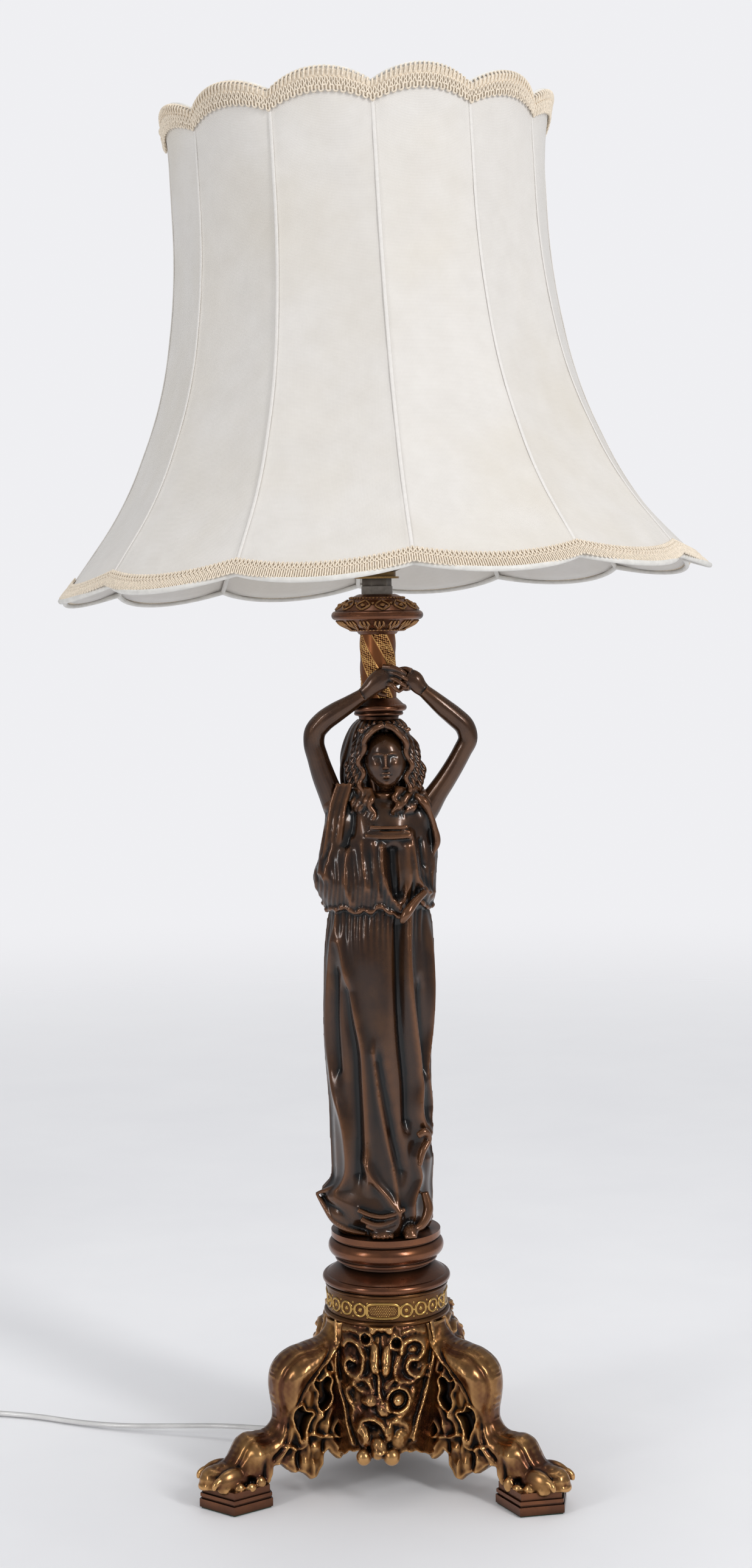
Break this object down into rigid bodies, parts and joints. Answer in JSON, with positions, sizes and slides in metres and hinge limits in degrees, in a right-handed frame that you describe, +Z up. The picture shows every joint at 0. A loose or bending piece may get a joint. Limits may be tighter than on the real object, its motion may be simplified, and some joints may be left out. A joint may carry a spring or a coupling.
{
  "type": "figural table lamp",
  "caption": "Table lamp with a draped standing figure on a three-legged base, a drip pan above its raised hands, and a bowed fabric shade over a bayonet lampholder.",
  "frame": {"origin": "on the lamp's axis at the level of the table it stands on", "axes": "+X to the viewer's right of the picture, +Y away from the viewer, +Z up along the lamp's axis"},
  "size_m": [0.5983, 0.4008, 0.8498],
  "materials": {
    "gilt_leg": "patinated gilt bronze, satin",
    "gilt_base": "patinated gilt bronze, satin",
    "bronze_figure": "dark patinated bronze, satin",
    "gilt_column": "gilt bronze, satin",
    "brass": "plain brass, satin",
    "felt": "felt",
    "black_plastic": "moulded, matt",
    "lamp_glass": "frosted glass",
    "cap_metal": "satin",
    "shade_fabric": "woven fabric, matt",
    "shade_braid": "woven braid, matt",
    "shade_wire": "white painted wire",
    "cord_skin": "clear twin flex over copper strands",
    "plug_body": "moulded, matt",
    "pin_brass": "plain brass"
  },
  "bodies": {
    "lamp": {"leg_left": "gilt_leg", "leg_right": "gilt_leg", "leg_back": "gilt_leg", "panel_front": "gilt_leg", "panel_right": "gilt_leg", "panel_left": "gilt_leg", "pad_left": "gilt_base", "pad_right": "gilt_base", "pad_back": "gilt_base", "ornament_band": "gilt_base", "plinth_skirt": "gilt_base", "plinth_drum": "gilt_base", "figure_body": "bronze_figure", "figure_head": "bronze_figure", "figure_arm_left": "bronze_figure", "figure_arm_right": "bronze_figure", "head_collar": "gilt_column", "column": "gilt_column", "drip_pan_lower": "gilt_column", "drip_pan_upper": "gilt_column", "neck_ring": "gilt_column", "base_plate": "brass", "hex_nut": "brass", "washer": "brass", "rod": "brass", "rod_washer": "brass", "rod_nut": "brass", "holder_cap": "brass", "holder_body": "brass", "foot_felts": "felt", "insulator": "black_plastic", "cord_grommet": "black_plastic", "cord": "cord_skin", "cord_coil": "cord_skin", "cord_tail": "cord_skin", "plug": "plug_body", "plug_pins": "pin_brass"},
    "switch_bar": {"switch_bar": "black_plastic"},
    "bulb": {"bulb": "lamp_glass", "bulb_cap": "cap_metal", "bulb_pins": "cap_metal"},
    "plungers": {"plungers": "brass"},
    "shade": {"gore_01": "shade_fabric", "gore_02": "shade_fabric", "gore_03": "shade_fabric", "gore_04": "shade_fabric", "gore_05": "shade_fabric", "gore_06": "shade_fabric", "gore_07": "shade_fabric", "gore_08": "shade_fabric", "gore_09": "shade_fabric", "gore_10": "shade_fabric", "gore_11": "shade_fabric", "gore_12": "shade_fabric", "low_braid": "shade_braid", "top_braid": "shade_braid", "shade_frame": "shade_wire", "shade_carrier": "shade_wire"},
    "shade_ring": {"shade_ring": "black_plastic"}
  },
  "joints": [
    {"name": "switch_slide", "type": "slide", "parent": "lamp", "child": "switch_bar", "axis": [-1, 0, 0], "range_m": [0, 0.0025]},
    {"name": "bulb_press", "type": "slide", "parent": "lamp", "child": "bulb", "axis": [0, 0, -1], "range_m": [0, 0.002], "stiffness_N_per_m": 2000, "springref_m": -0.004},
    {"name": "plunger_press", "type": "slide", "parent": "lamp", "child": "plungers", "axis": [0, 0, -1], "range_m": [0, 0.002]},
    {"name": "shade_turn", "type": "hinge", "parent": "lamp", "child": "shade", "pos_m": [0, 0, 0.5834], "axis": [0, 0, 1], "continuous": true},
    {"name": "shade_ring_turn", "type": "hinge", "parent": "lamp", "child": "shade_ring", "pos_m": [0, 0, 0.5834], "axis": [0, 0, 1], "range_deg": [0, 90]}
  ],
  "couplings": [
    {"joint": "plunger_press", "follows": "bulb_press", "ratio": 1}
  ]
}
